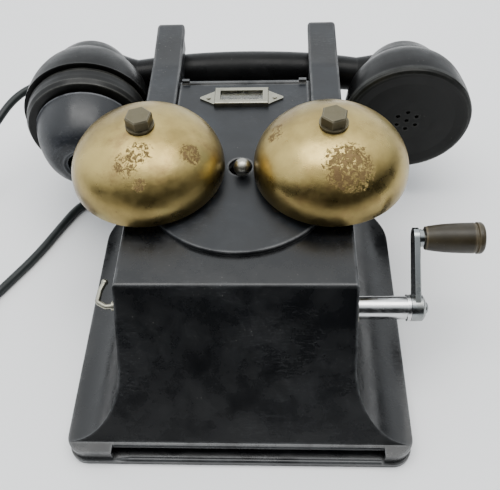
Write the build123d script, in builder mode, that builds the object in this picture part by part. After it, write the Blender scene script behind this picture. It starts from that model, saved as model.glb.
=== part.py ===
from build123d import *
import math
import os

# Wall crank telephone, lying on its back.  +X is the crank side, +Y points to the cradle end
# (up, when it hangs on a wall) and +Z points out of the wall.  The origin is the centre of the
# back plate's flat face.  Millimetres.

os.makedirs("parts", exist_ok=True)

# ---- case ----
FOOT_WIDTH = 144.6
FOOT_NEAR = -87.5
FOOT_FAR = 48.5
FOOT_NEAR_RADIUS = 8.0
FOOT_FAR_RADIUS = 23.0
RIM_TOP = 8.5
FRONT_WIDTH = 96.0
FRONT_EDGE = 1.0
DEPTH = 66.0
COVE_TOP = 38.5
NECK_WIDTH = 80.0
NECK_FAR = 81.5
NECK_RADIUS = 4.0
CHIN_FOOT_Y = -82.5
CHIN_TOP_Y = -42.3
CHIN_RADIUS = 8.0
SHEET = 1.5
PLATE_THICK = 2.5
NEAR_LIP = 1.2
LIP_RADIUS = 1.1
SLOT_LEFT, SLOT_RIGHT = -53.0, 60.5
WALL_HOLE_X, WALL_HOLE_Y, WALL_HOLE_RADIUS = 32.0, 58.0, 2.6

# ---- bell plate, gongs and clapper ----
BELL_PLATE_TOP = DEPTH + 2.4
TONGUE_RADIUS = 42.6
TONGUE_Y = 14.3
TONGUE_SHOULDER_Y = 50.0
TONGUE_NECK = 31.8
TONGUE_END_Y = 79.2
GONG_X, GONG_Y = 39.2, 15.2
GONG_RADIUS = 33.0
GONG_RIM_Z = 71.3
GONG_SKIRT = 2.0
GONG_DOME = 23.5
GONG_THICK = 1.8
POST_RADIUS = 4.5
BOLT_RADIUS = 2.5
HEX_FLATS = 9.8
BALL_CENTRE = (1.4, 14.9, 73.0)
BALL_RADIUS = 3.9
CLAPPER_HOLE_X, CLAPPER_Y, CLAPPER_HOLE_RADIUS = 0.2, 19.5, 5.3
RINGER_PIVOT_Z = 42.0
RINGER_Y = 21.0
COIL_X = 15.0

# ---- crank and magneto ----
CRANK_Y, CRANK_Z = -36.2, 41.0
CRANK_RADIUS = 29.0
CRANK_ANGLE = math.radians(35.5)
SHAFT_RADIUS = 4.9
JOURNAL_RADIUS = 3.0
HUB_START, HUB_RADIUS = 71.6, 5.6
ARM_START, ARM_THICK = 73.0, 2.4
KNOB_START, KNOB_LENGTH = 78.0, 24.0
KNOB_PIN_RADIUS = 2.0
RUNNING = 0.05
BUSH_RADIUS = 6.6
GEAR_MODULE = 0.8
GEAR_TEETH, PINION_TEETH = 38, 12
PRESSURE_ANGLE = math.radians(25)
BACKLASH = 0.16
GEAR_X, GEAR_WIDTH = 36.0, 4.0
MESH_ANGLE = math.radians(-30)
CENTRES = GEAR_MODULE * (GEAR_TEETH + PINION_TEETH) / 2
ARMATURE_Y = CRANK_Y + CENTRES * math.cos(MESH_ANGLE)
ARMATURE_Z = CRANK_Z + CENTRES * math.sin(MESH_ANGLE)
ARMATURE_RADIUS = 9.0
END_PLATE_LEFT, END_PLATE_RIGHT, END_PLATE_THICK = -30.0, 31.0, 2.0

# ---- cradle and handset ----
SADDLE_Y, HANDLE_Z = 105.2, 53.8
SADDLE_RADIUS = 10.3
SADDLE_THICK = 2.0
PRONG_IN, PRONG_OUT = 32.5, 47.2
BAND_WIDTH = 12.8
PRONG_END_Y, PRONG_END_Z = 116.5, 76.4
PRONG_THICK = 3.0
ARM_IN, ARM_OUT = 32.5, 37.5
STRAP_NEAR = 53.0
REAR_TOP_Z = HANDLE_Z - SADDLE_RADIUS
REAR_THICK = 3.5
HANDLE_MID_Y = 107.0
EAR_CENTRE = (81.5, 98.5, HANDLE_Z)
EAR_TILT = -2.0
MOUTH_CENTRE = (-82.8, 102.5, HANDLE_Z)
MOUTH_TILT = 6.0
EAR_RIM_RADIUS = 31.2
EAR_SHELL_END = 31.0
EAR_FACE = 34.4
MOUTH_RIM_RADIUS = 32.2
MOUTH_SHELL_END = 31.0
MOUTH_RING_END = 42.0
MOUTH_END = 67.2

# ---- cord ----
CORD_RADIUS = 2.2
COIL_CENTRE = (-162.5, -8.3)
COIL_TURN_RADIUS = 27.4
COIL_TURNS_WIDE = 2

ALONG_X = (0, 90, 0)
ALONG_Y = (-90, 0, 0)
UPRIGHT = (0, 0, 0)
FROM_BASE = (Align.CENTER, Align.CENTER, Align.MIN)


def save(builder, name):
    """Label a finished piece and write it."""
    builder.part.label = name
    export_step(builder.part, f"parts/{name}.step")


def rod(start, axis, radius, length, mode=Mode.ADD):
    """Add a cylinder that starts at a point and runs along X, Y or Z."""
    with Locations(start):
        Cylinder(radius, length, rotation=axis, align=FROM_BASE, mode=mode)


def block(low, high, mode=Mode.ADD):
    """Add a box between two corners."""
    middle = Vector(*[(a + b) / 2 for a, b in zip(low, high)])
    with Locations(middle):
        Box(*[b - a for a, b in zip(low, high)], mode=mode)


def side_plane(x):
    """A sketch plane across X whose own axes are Y and Z."""
    return Plane.YZ.offset(x)


# ================= case =================


def chin_y(z, inset):
    """Where the sloping chin stands at height z, moved inwards by inset."""
    run, rise = CHIN_TOP_Y - CHIN_FOOT_Y, DEPTH - RIM_TOP
    return CHIN_FOOT_Y + (z - RIM_TOP) * run / rise + inset * math.hypot(run, rise) / rise


def case_body(inset):
    """The case as a solid, with every wall moved inwards by inset."""
    top = DEPTH - inset
    half_front = FRONT_WIDTH / 2 - inset
    half_foot = FOOT_WIDTH / 2
    rim = RIM_TOP - inset
    base = PLATE_THICK - (1.0 if inset else 0.0)
    cove_x, cove_z = half_foot - half_front, COVE_TOP - rim
    with BuildPart() as body:
        with BuildSketch(Plane.XZ.offset(-FOOT_FAR)) as section:
            with BuildLine():
                Polyline((0, top), (half_front, top), (half_front, COVE_TOP))
                EllipticalCenterArc((half_foot, COVE_TOP), cove_x, cove_z, 180, arc_size=90)
                Polyline((half_foot, rim), (half_foot, base), (0, base), (0, top))
            make_face()
            mirror(about=Plane.YZ)
            if not inset:
                fillet(section.vertices().group_by(Axis.Y)[-1], FRONT_EDGE)
        extrude(amount=FOOT_FAR - FOOT_NEAR)
        with BuildSketch(Plane.XZ.offset(-NECK_FAR)) as neck:
            with Locations((0, (top + base) / 2)):
                Rectangle(NECK_WIDTH - 2 * inset, top - base)
            if not inset:
                fillet(neck.vertices().group_by(Axis.Y)[-1], FRONT_EDGE)
        extrude(amount=NECK_FAR)
        with BuildSketch(side_plane(-FOOT_WIDTH)) as profile:
            with BuildLine():
                near, far = FOOT_NEAR + inset, NECK_FAR - inset
                Polyline(
                    (near, base),
                    (near, rim),
                    (chin_y(rim, inset), rim),
                    (chin_y(top, inset), top),
                    (far, top),
                    (far, base),
                    close=True,
                )
            make_face()
            fillet(profile.vertices().sort_by_distance((0, near, rim))[0], 2.0 - inset)
            fillet(profile.vertices().sort_by_distance((0, far, top))[0], 2.0 - inset)
            bend = profile.vertices().sort_by_distance((0, chin_y(top, inset), top))[0]
            fillet(bend, CHIN_RADIUS - inset)
        extrude(amount=2 * FOOT_WIDTH, mode=Mode.INTERSECT)
        plan = plan_outline(inset, 0.0)
        extrude(plan, amount=DEPTH + 1, mode=Mode.INTERSECT)
    return body.part


def plan_outline(inset, near_lip):
    """The outline of foot and neck, seen along Z."""
    with BuildSketch(Plane.XY) as plan:
        length = FOOT_FAR - FOOT_NEAR - 2 * inset + near_lip
        with Locations((0, (FOOT_FAR + FOOT_NEAR - near_lip) / 2)):
            Rectangle(FOOT_WIDTH - 2 * inset, length)
        corners = plan.vertices().group_by(Axis.Y)
        fillet(corners[-1], FOOT_FAR_RADIUS - inset)
        fillet(plan.vertices().group_by(Axis.Y)[0], FOOT_NEAR_RADIUS - inset)
        with BuildSketch(Plane.XY) as neck:
            with Locations((0, NECK_FAR / 2 - inset / 2)):
                Rectangle(NECK_WIDTH - 2 * inset, NECK_FAR - inset)
            fillet(neck.vertices().group_by(Axis.Y)[-1], NECK_RADIUS - inset)
    return plan.sketch


with BuildPart() as back_plate:
    extrude(plan_outline(0.0, NEAR_LIP), amount=PLATE_THICK)
    with GridLocations(2 * WALL_HOLE_X, 2 * WALL_HOLE_Y, 2, 2):
        Hole(WALL_HOLE_RADIUS)
    block((-3, NECK_FAR - 7.6, PLATE_THICK), (3, NECK_FAR - SHEET, 14))
    rod((0, NECK_FAR - 8, 9), ALONG_Y, 1.6, 8, mode=Mode.SUBTRACT)
    # The rolled lip below the slot, tapered at its left end.
    lip_start = (SLOT_LEFT + 7, FOOT_NEAR - 0.1, PLATE_THICK)
    rod(lip_start, ALONG_X, LIP_RADIUS, SLOT_RIGHT - SLOT_LEFT - 8)
    with Locations(lip_start):
        Cone(LIP_RADIUS, 0.3, 6, rotation=(0, -90, 0), align=FROM_BASE)
save(back_plate, "back_plate")

with BuildPart() as case_cover:
    add(case_body(0.0))
    add(case_body(SHEET), mode=Mode.SUBTRACT)
    # The long slot under the chin, and the holes for what passes through the walls.
    bead_y = CHIN_FOOT_Y - 0.7
    block((SLOT_LEFT, FOOT_NEAR - 1, 2), (SLOT_RIGHT, bead_y, RIM_TOP + 1), Mode.SUBTRACT)
    rod((SLOT_LEFT - 1, bead_y, RIM_TOP - 1.25), ALONG_X, 1.1, SLOT_RIGHT - SLOT_LEFT + 2)
    rod((FRONT_WIDTH / 2 - 4, CRANK_Y, CRANK_Z), ALONG_X, BUSH_RADIUS + 0.1, 8, mode=Mode.SUBTRACT)
    clapper_hole = (CLAPPER_HOLE_X, CLAPPER_Y, DEPTH - 4)
    rod(clapper_hole, UPRIGHT, CLAPPER_HOLE_RADIUS, 10, mode=Mode.SUBTRACT)
    rod((-NECK_WIDTH / 2 - 2, 72, 12), ALONG_X, 4.1, 6, mode=Mode.SUBTRACT)
    rod((0, NECK_FAR - 4, 9), ALONG_Y, 1.7, 8, mode=Mode.SUBTRACT)
    for side in (-1, 1):
        slot_in, slot_out = sorted((side * (ARM_IN - 0.6), side * (ARM_OUT + 0.5)))
        low = (slot_in, NECK_FAR - 4, REAR_TOP_Z - REAR_THICK - 0.5)
        block(low, (slot_out, NECK_FAR + 1, REAR_TOP_Z + 0.5), Mode.SUBTRACT)
save(case_cover, "case_cover")

with BuildPart() as cover_screw:
    rod((0, NECK_FAR - 7, 9), ALONG_Y, 1.5, 7)
    rod((0, NECK_FAR, 9), ALONG_Y, 3.0, 1.6)
    fillet(cover_screw.edges().group_by(Axis.Y)[-1], 0.9)
    block((-4, NECK_FAR + 1.0, 8.6), (4, NECK_FAR + 2, 9.4), Mode.SUBTRACT)
save(cover_screw, "cover_screw")


# ================= bell plate and label =================


def tongue(inset):
    """The outline of the bell plate: a round lower end and a narrower upper end."""
    radius = TONGUE_RADIUS - inset
    with BuildSketch(Plane.XY) as outline:
        with BuildLine():
            Polyline(
                (radius, TONGUE_Y),
                (radius, TONGUE_SHOULDER_Y - inset),
                (TONGUE_NECK - inset, TONGUE_SHOULDER_Y - inset),
                (TONGUE_NECK - inset, TONGUE_END_Y - inset),
                (0, TONGUE_END_Y - inset),
                (0, TONGUE_Y - radius),
            )
            CenterArc((0, TONGUE_Y), radius, 270, 90)
        make_face()
        mirror(about=Plane.YZ)
    return outline.sketch


with BuildPart() as bell_plate:
    with BuildSketch(Plane.XY.offset(DEPTH)):
        add(tongue(0.0))
    extrude(amount=BELL_PLATE_TOP - DEPTH)
    fillet(bell_plate.edges().group_by(Axis.Z)[-1], 0.6)
    # The rolled lip at the cradle end, with a small upturned tab at each corner.
    with BuildSketch(side_plane(-TONGUE_NECK + 1)) as lip:
        with Locations((TONGUE_END_Y - 1.3, BELL_PLATE_TOP - 0.4)):
            Circle(1.3)
    extrude(amount=2 * TONGUE_NECK - 2)
    for side in (-1, 1):
        with Locations((side * (TONGUE_NECK - 3.0), TONGUE_END_Y - 1.3, BELL_PLATE_TOP + 0.9)):
            Box(3.6, 1.6, 2.4)
    rod(clapper_hole, UPRIGHT, CLAPPER_HOLE_RADIUS, 10, mode=Mode.SUBTRACT)
save(bell_plate, "bell_plate")

with BuildPart() as bell_plate_screws:
    for side in (-1, 1):
        for y in (0.0, 34.0):
            rod((side * 27.0, y, BELL_PLATE_TOP), UPRIGHT, 2.6, 1.4)
    fillet(bell_plate_screws.edges().group_by(Axis.Z)[-1], 0.8)
save(bell_plate_screws, "bell_plate_screws")

LABEL_X, LABEL_Y = -0.8, 65.5
LABEL_LENGTH, LABEL_HEIGHT = 26.1, 12.0
LABEL_END = 7.0


def label_outline():
    """The label frame's outline: a rectangle with a pointed ogee at each end."""
    half, edge = LABEL_LENGTH / 2, LABEL_HEIGHT / 2
    with BuildSketch(Plane.XY) as outline:
        with Locations((LABEL_X, LABEL_Y)):
            Rectangle(LABEL_LENGTH, LABEL_HEIGHT)
            for side in (-1, 1):
                with BuildLine(Plane.XY):
                    x0, x1 = LABEL_X + side * (half - 0.5), LABEL_X + side * (half + LABEL_END)
                    waist = LABEL_X + side * (half + 2.2)
                    upper, lower = LABEL_Y + edge - 0.9, LABEL_Y - edge + 0.9
                    Spline((x0, upper), (waist, LABEL_Y + 3.4), (x1, LABEL_Y + 0.5))
                    Line((x1, LABEL_Y + 0.5), (x1, LABEL_Y - 0.5))
                    Spline((x1, LABEL_Y - 0.5), (waist, LABEL_Y - 3.4), (x0, lower))
                    Line((x0, lower), (x0, upper))
                make_face()
    return outline.sketch


def label_rectangle(length, height, low, high, mode=Mode.ADD):
    """A box centred on the label."""
    corner = (LABEL_X - length / 2, LABEL_Y - height / 2, low)
    block(corner, (LABEL_X + length / 2, LABEL_Y + height / 2, high), mode)


with BuildPart() as label_frame:
    with BuildSketch(Plane.XY.offset(BELL_PLATE_TOP)):
        add(label_outline())
    extrude(amount=1.0)
    label_rectangle(LABEL_LENGTH, LABEL_HEIGHT, BELL_PLATE_TOP, BELL_PLATE_TOP + 2.6)
    fillet(label_frame.edges().group_by(Axis.Z)[-1], 0.9)
    label_rectangle(22.6, 8.6, BELL_PLATE_TOP - 1, BELL_PLATE_TOP + 1.3, Mode.SUBTRACT)
    label_rectangle(20.6, 6.8, BELL_PLATE_TOP, BELL_PLATE_TOP + 4, Mode.SUBTRACT)
    for side in (-1, 1):
        start = (LABEL_X + side * 16.0, LABEL_Y, BELL_PLATE_TOP - 1)
        rod(start, UPRIGHT, 0.65, 4, mode=Mode.SUBTRACT)
save(label_frame, "label_frame")

with BuildPart() as label_card:
    label_rectangle(22.2, 8.2, BELL_PLATE_TOP, BELL_PLATE_TOP + 0.4)
save(label_card, "label_card")

with BuildPart() as label_window:
    label_rectangle(22.2, 8.2, BELL_PLATE_TOP + 0.5, BELL_PLATE_TOP + 1.2)
save(label_window, "label_window")

with BuildPart() as label_pins:
    for side in (-1, 1):
        rod((LABEL_X + side * 16.0, LABEL_Y, BELL_PLATE_TOP), UPRIGHT, 0.6, 1.1)
        rod((LABEL_X + side * 16.0, LABEL_Y, BELL_PLATE_TOP + 1.0), UPRIGHT, 1.1, 0.5)
save(label_pins, "label_pins")


# ================= gongs =================


def gong(x):
    """A domed gong with a rounded rim and a hole for its bolt."""
    centre_z = GONG_RIM_Z + GONG_SKIRT
    inner = GONG_RADIUS - GONG_THICK
    with BuildPart() as bell:
        with BuildSketch(Plane.XZ) as section:
            with BuildLine():
                Line((GONG_RADIUS, GONG_RIM_Z), (GONG_RADIUS, centre_z))
                EllipticalCenterArc((0, centre_z), GONG_RADIUS, GONG_DOME, 0, arc_size=90)
                Line((0, centre_z + GONG_DOME), (0, centre_z + GONG_DOME - GONG_THICK))
                EllipticalCenterArc((0, centre_z), inner, GONG_DOME - GONG_THICK, 0, arc_size=90)
                Line((inner, centre_z), (inner, GONG_RIM_Z))
                Line((inner, GONG_RIM_Z), (GONG_RADIUS, GONG_RIM_Z))
            make_face()
            fillet(section.vertices().group_by(Axis.Y)[0], 0.7)
            with Locations((0, centre_z)):
                size = (BOLT_RADIUS + 0.6, 2 * GONG_DOME)
                Rectangle(*size, align=(Align.MIN, Align.CENTER), mode=Mode.SUBTRACT)
        revolve(axis=Axis.Z)
    return bell.part.moved(Location((x, GONG_Y, 0)))


for gong_name, gong_x in (("gong_left", -GONG_X), ("gong_right", GONG_X)):
    with BuildPart() as gong_part:
        add(gong(gong_x))
    save(gong_part, gong_name)

GONG_TOP = GONG_RIM_Z + GONG_SKIRT + GONG_DOME
POST_TOP = GONG_TOP - GONG_THICK - 0.4
WASHER_TOP = GONG_TOP + 0.9

with BuildPart() as gong_posts:
    for x in (-GONG_X, GONG_X):
        rod((x, GONG_Y, BELL_PLATE_TOP), UPRIGHT, POST_RADIUS, POST_TOP - BELL_PLATE_TOP)
        rod((x, GONG_Y, BELL_PLATE_TOP), UPRIGHT, 7.0, 1.6)
        rod((x, GONG_Y, POST_TOP - 14), UPRIGHT, BOLT_RADIUS + 0.1, 15, mode=Mode.SUBTRACT)
save(gong_posts, "gong_posts")

with BuildPart() as gong_washers:
    for x in (-GONG_X, GONG_X):
        rod((x, GONG_Y, GONG_TOP), UPRIGHT, 6.0, 0.9)
        rod((x, GONG_Y, GONG_TOP - 1), UPRIGHT, BOLT_RADIUS + 0.1, 3, mode=Mode.SUBTRACT)
save(gong_washers, "gong_washers")

with BuildPart() as gong_bolts:
    for x in (-GONG_X, GONG_X):
        with BuildSketch(Plane((x, GONG_Y, WASHER_TOP))):
            RegularPolygon(HEX_FLATS / 2, 6, major_radius=False, rotation=20)
        extrude(amount=4.6)
    chamfer(gong_bolts.edges().group_by(Axis.Z)[-1], 0.5)
    for x in (-GONG_X, GONG_X):
        rod((x, GONG_Y, POST_TOP - 12), UPRIGHT, BOLT_RADIUS, WASHER_TOP - POST_TOP + 12)
save(gong_bolts, "gong_bolts")


# ================= side hook and cord entry =================

with BuildPart() as side_hook:
    wall = -FRONT_WIDTH / 2
    with BuildLine() as hook_line:
        hook_points = [
            (wall, -45.8, 56.6),
            (wall - 3.6, -46.2, 56.6),
            (wall - 7.4, -44.0, 56.6),
            (wall - 7.2, -38.6, 56.6),
            (wall - 6.0, -34.4, 56.6),
        ]
        FilletPolyline(*hook_points, radius=[1.8, 1.8, 2.0])
    with BuildSketch(Plane(hook_points[0], z_dir=(-1, 0, 0))):
        Circle(1.1)
    sweep(path=hook_line.line)
    with Locations(hook_points[-1]):
        Sphere(1.4, rotation=(20, 30, 0))
    rod((wall - 1.2, -45.8, 56.6), ALONG_X, 2.0, 1.2)
save(side_hook, "side_hook")

with BuildPart() as cord_grommet:
    wall = -NECK_WIDTH / 2
    rod((wall, 72, 12), ALONG_X, 4.0, SHEET)
    rod((wall - 2.4, 72, 12), ALONG_X, 5.4, 2.4)
    fillet(cord_grommet.edges().group_by(Axis.X)[0], 1.6)
    rod((wall + SHEET, 72, 12), ALONG_X, 5.4, 1.5)
    rod((wall - 3, 72, 12), ALONG_X, CORD_RADIUS + 0.05, 8, mode=Mode.SUBTRACT)
save(cord_grommet, "cord_grommet")


# ================= crank =================

KNOB_Y = CRANK_Y + CRANK_RADIUS * math.cos(CRANK_ANGLE)
KNOB_Z = CRANK_Z + CRANK_RADIUS * math.sin(CRANK_ANGLE)

with BuildPart() as crank_bush:
    wall = FRONT_WIDTH / 2
    rod((wall - 3.4, CRANK_Y, CRANK_Z), ALONG_X, BUSH_RADIUS, 4.0)
    rod((wall + 0.6, CRANK_Y, CRANK_Z), ALONG_X, BUSH_RADIUS + 1.4, 1.0)
    rod((wall - 4, CRANK_Y, CRANK_Z), ALONG_X, SHAFT_RADIUS + RUNNING, 8, mode=Mode.SUBTRACT)
save(crank_bush, "crank_bush")

with BuildPart() as crank_shaft:
    rod((END_PLATE_LEFT - 3, CRANK_Y, CRANK_Z), ALONG_X, JOURNAL_RADIUS, 80)
    rod((43.0, CRANK_Y, CRANK_Z), ALONG_X, SHAFT_RADIUS, HUB_START - 43.0)
    rod((HUB_START - 1.6, CRANK_Y, CRANK_Z), ALONG_X, HUB_RADIUS, 1.6)
    fillet(crank_shaft.edges().group_by(Axis.X)[-1], 0.4)
    rod((HUB_START, CRANK_Y, CRANK_Z), ALONG_X, 2.5, 3.0)
save(crank_shaft, "crank_shaft")

with BuildPart() as hub:
    with BuildSketch(Plane.XY) as profile:
        with BuildLine():
            shoulder, dome = HUB_START + 4.6, HUB_START + 6.0
            Line((HUB_START + 0.02, 0), (HUB_START + 0.02, HUB_RADIUS))
            Line((HUB_START + 0.02, HUB_RADIUS), (shoulder, HUB_RADIUS))
            Spline((shoulder, HUB_RADIUS), (shoulder + 0.9, 4.6), (dome, 2.6))
            Spline((dome, 2.6), (dome + 0.9, 2.1), (dome + 1.4, 0), tangents=((1, 0), (0, -1)))
            Line((dome + 1.4, 0), (HUB_START + 0.02, 0))
        make_face()
    revolve(axis=Axis.X)

with BuildPart() as crank_arm:
    with BuildSketch(side_plane(ARM_START)):
        for y, z, radius in ((CRANK_Y, CRANK_Z, 5.2), (KNOB_Y, KNOB_Z, 4.5)):
            with Locations((y, z)):
                Circle(radius)
        make_hull()
    extrude(amount=ARM_THICK)
    chamfer(crank_arm.edges().group_by(Axis.X)[-1], 0.3)
    with Locations((ARM_START + 1, KNOB_Y, KNOB_Z)):
        Cone(4.2, 3.6, KNOB_START - ARM_START - 1.6, rotation=ALONG_X, align=FROM_BASE)
    add(hub.part.moved(Location((0, CRANK_Y, CRANK_Z))))
    rod((HUB_START - 1, CRANK_Y, CRANK_Z), ALONG_X, 2.5, 4.1, mode=Mode.SUBTRACT)
    rod((ARM_START - 1, KNOB_Y, KNOB_Z), ALONG_X, KNOB_PIN_RADIUS, 9, mode=Mode.SUBTRACT)
save(crank_arm, "crank_arm")

KNOB_END = KNOB_START + KNOB_LENGTH

with BuildPart() as knob_pin:
    rod((ARM_START, KNOB_Y, KNOB_Z), ALONG_X, KNOB_PIN_RADIUS, KNOB_END - 1.2 - ARM_START)
    rod((KNOB_END - 1.8, KNOB_Y, KNOB_Z), ALONG_X, 2.8, 1.2)
save(knob_pin, "knob_pin")

with BuildPart() as crank_knob:
    with BuildSketch(Plane.XY) as profile:
        with BuildLine():
            groove = KNOB_START + 20.0
            Line((KNOB_START, 0), (KNOB_START, 4.9))
            Spline(
                (KNOB_START, 4.9),
                (KNOB_START + 5.0, 5.7),
                (KNOB_START + 13.0, 6.3),
                (groove, 6.5),
            )
            Polyline((groove, 6.5), (groove + 0.3, 6.0), (groove + 0.9, 6.0), (groove + 1.2, 6.7))
            Line((groove + 1.2, 6.7), (groove + 2.4, 6.7))
            RadiusArc((groove + 2.4, 6.7), (KNOB_END, 5.2), 1.62)
            Line((KNOB_END, 5.2), (KNOB_END, 0))
            Line((KNOB_END, 0), (KNOB_START, 0))
        make_face()
    revolve(axis=Axis.X)
    rod((KNOB_START - 1, 0, 0), ALONG_X, KNOB_PIN_RADIUS + RUNNING, 30, mode=Mode.SUBTRACT)
    rod((KNOB_END - 2.4, 0, 0), ALONG_X, 3.2, 4, mode=Mode.SUBTRACT)
crank_knob.part.position = (0, KNOB_Y, KNOB_Z)
save(crank_knob, "crank_knob")


# ================= magneto =================


def involute(angle):
    """The involute function."""
    return math.tan(angle) - angle


def gear_points(teeth, centre, first):
    """The outline of an involute gear whose first tooth points at the angle first."""
    pitch = GEAR_MODULE * teeth / 2
    base = pitch * math.cos(PRESSURE_ANGLE)
    root, tip = pitch - 1.25 * GEAR_MODULE, pitch + 0.95 * GEAR_MODULE
    half = math.pi / (2 * teeth) - BACKLASH / (2 * pitch) + involute(PRESSURE_ANGLE)
    start = max(base, root)
    steps = 4
    flank = [(root, half - involute(math.acos(min(1.0, base / start))))]
    for step in range(steps + 1):
        radius = start + (tip - start) * step / steps
        flank.append((radius, half - involute(math.acos(min(1.0, base / radius)))))
    if start == root:
        flank.pop(0)
    points = []
    for tooth in range(teeth):
        middle = first + tooth * 2 * math.pi / teeth
        for radius, angle in flank:
            points.append((radius, middle - angle))
        for radius, angle in reversed(flank):
            points.append((radius, middle + angle))
    y, z = centre
    return [(y + r * math.cos(a), z + r * math.sin(a)) for r, a in points]


with BuildPart() as drive_gear:
    with BuildSketch(side_plane(GEAR_X)):
        with BuildLine():
            Polyline(*gear_points(GEAR_TEETH, (CRANK_Y, CRANK_Z), MESH_ANGLE), close=True)
        make_face()
    extrude(amount=GEAR_WIDTH)
    rod((GEAR_X - 1, CRANK_Y, CRANK_Z), ALONG_X, JOURNAL_RADIUS, 8, mode=Mode.SUBTRACT)
    with BuildSketch(side_plane(GEAR_X)):
        with Locations((CRANK_Y, CRANK_Z)):
            with PolarLocations(9.0, 5):
                Circle(2.6)
    extrude(amount=GEAR_WIDTH, mode=Mode.SUBTRACT)
save(drive_gear, "drive_gear")

with BuildPart() as pinion:
    first_tooth = MESH_ANGLE + math.pi + math.pi / PINION_TEETH
    with BuildSketch(side_plane(GEAR_X)):
        with BuildLine():
            Polyline(*gear_points(PINION_TEETH, (ARMATURE_Y, ARMATURE_Z), first_tooth), close=True)
        make_face()
    extrude(amount=GEAR_WIDTH)
    rod((GEAR_X - 1, ARMATURE_Y, ARMATURE_Z), ALONG_X, 2.0, 8, mode=Mode.SUBTRACT)
save(pinion, "pinion")

with BuildPart() as armature_shaft:
    start = (END_PLATE_LEFT - 1.5, ARMATURE_Y, ARMATURE_Z)
    rod(start, ALONG_X, 2.0, GEAR_X + GEAR_WIDTH + 1 - END_PLATE_LEFT + 1.5)
save(armature_shaft, "armature_shaft")

ARMATURE_LEFT, ARMATURE_LENGTH = -24.0, 48.0

with BuildPart() as armature_core:
    start = (ARMATURE_LEFT, ARMATURE_Y, ARMATURE_Z)
    rod(start, ALONG_X, ARMATURE_RADIUS, ARMATURE_LENGTH)
    for side in (-1, 1):
        low_z, high_z = sorted((side * 3.0, side * (ARMATURE_RADIUS + 1)))
        low = (ARMATURE_LEFT - 1, ARMATURE_Y - 5.6, ARMATURE_Z + low_z)
        high = (ARMATURE_LEFT + ARMATURE_LENGTH + 1, ARMATURE_Y + 5.6, ARMATURE_Z + high_z)
        block(low, high, Mode.SUBTRACT)
    rod(start, ALONG_X, 2.0, ARMATURE_LENGTH, mode=Mode.SUBTRACT)
save(armature_core, "armature_core")

with BuildPart() as armature_winding:
    for side in (-1, 1):
        low_z, high_z = sorted((side * 3.1, side * 6.6))
        low = (ARMATURE_LEFT + 1, ARMATURE_Y - 5.5, ARMATURE_Z + low_z)
        high = (ARMATURE_LEFT + ARMATURE_LENGTH - 1, ARMATURE_Y + 5.5, ARMATURE_Z + high_z)
        block(low, high)
    fillet(armature_winding.edges().filter_by(Axis.X), 1.2)
save(armature_winding, "armature_winding")

with BuildPart() as magneto_base:
    block((END_PLATE_LEFT, -46, PLATE_THICK), (END_PLATE_RIGHT + 2, 4, PLATE_THICK + 2))
    for x in (END_PLATE_LEFT + END_PLATE_THICK, END_PLATE_RIGHT - 4):
        block((x, -44, PLATE_THICK + 2), (x + 4, -2, PLATE_THICK + 6))
save(magneto_base, "magneto_base")

with BuildPart() as magneto_end_plates:
    for x in (END_PLATE_LEFT, END_PLATE_RIGHT):
        with BuildSketch(side_plane(x)):
            with BuildLine():
                Polyline((-46, 4.5), (2, 4.5), (2, 38), (-24, 52), (-44, 52), (-46, 38), close=True)
            make_face()
        extrude(amount=END_PLATE_THICK)
        crank_hole = (x - 1, CRANK_Y, CRANK_Z)
        rod(crank_hole, ALONG_X, JOURNAL_RADIUS + RUNNING, 4, mode=Mode.SUBTRACT)
        armature_hole = (x - 1, ARMATURE_Y, ARMATURE_Z)
        rod(armature_hole, ALONG_X, 2.0 + RUNNING, 4, mode=Mode.SUBTRACT)
save(magneto_end_plates, "magneto_end_plates")

MAGNET_OUTER, MAGNET_INNER = 18.5, 12.5
MAGNET_BEND_Y = -11.0

with BuildPart() as magneto_magnets:
    for x in (-22.0, -7.0, 8.0):
        with BuildSketch(side_plane(x)):
            with Locations((MAGNET_BEND_Y, ARMATURE_Z)):
                Circle(MAGNET_OUTER)
                Rectangle(40, 2 * MAGNET_OUTER, align=(Align.MAX, Align.CENTER))
                Circle(MAGNET_INNER, mode=Mode.SUBTRACT)
                size = (40, 2 * MAGNET_INNER)
                Rectangle(*size, align=(Align.MAX, Align.CENTER), mode=Mode.SUBTRACT)
            with Locations((-31.0, ARMATURE_Z)):
                Rectangle(60, 60, align=(Align.MAX, Align.CENTER), mode=Mode.SUBTRACT)
        extrude(amount=14.0)
save(magneto_magnets, "magneto_magnets")

with BuildPart() as magneto_poles:
    reach = MAGNET_INNER
    for side in (-1, 1):
        low_z, high_z = sorted((side * 4.0, side * reach))
        low = (-23, -30.5, ARMATURE_Z + low_z)
        block(low, (23, MAGNET_BEND_Y, ARMATURE_Z + high_z))
    start = (-24, ARMATURE_Y, ARMATURE_Z)
    rod(start, ALONG_X, ARMATURE_RADIUS + 0.5, 48, mode=Mode.SUBTRACT)
save(magneto_poles, "magneto_poles")


# ================= ringer =================

with BuildPart() as ringer_magnet:
    block((-20, RINGER_Y - 6, PLATE_THICK), (20, RINGER_Y + 6, 6.0))
save(ringer_magnet, "ringer_magnet")

with BuildPart() as ringer_frame:
    block((-24, RINGER_Y - 6, 6.0), (24, RINGER_Y + 6, 9.0))
    for y in (RINGER_Y - 10, RINGER_Y + 8):
        block((-4, y, 6.0), (4, y + 2, RINGER_PIVOT_Z + 4))
        block((-4, RINGER_Y - 10, 6.0), (4, RINGER_Y + 10, 9.0))
        pivot = (0, y - 1, RINGER_PIVOT_Z)
        rod(pivot, ALONG_Y, 1.5, 4, mode=Mode.SUBTRACT)
save(ringer_frame, "ringer_frame")

with BuildPart() as ringer_cores:
    for x in (-COIL_X, COIL_X):
        rod((x, RINGER_Y, 9.0), UPRIGHT, 3.5, 27)
save(ringer_cores, "ringer_cores")

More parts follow.
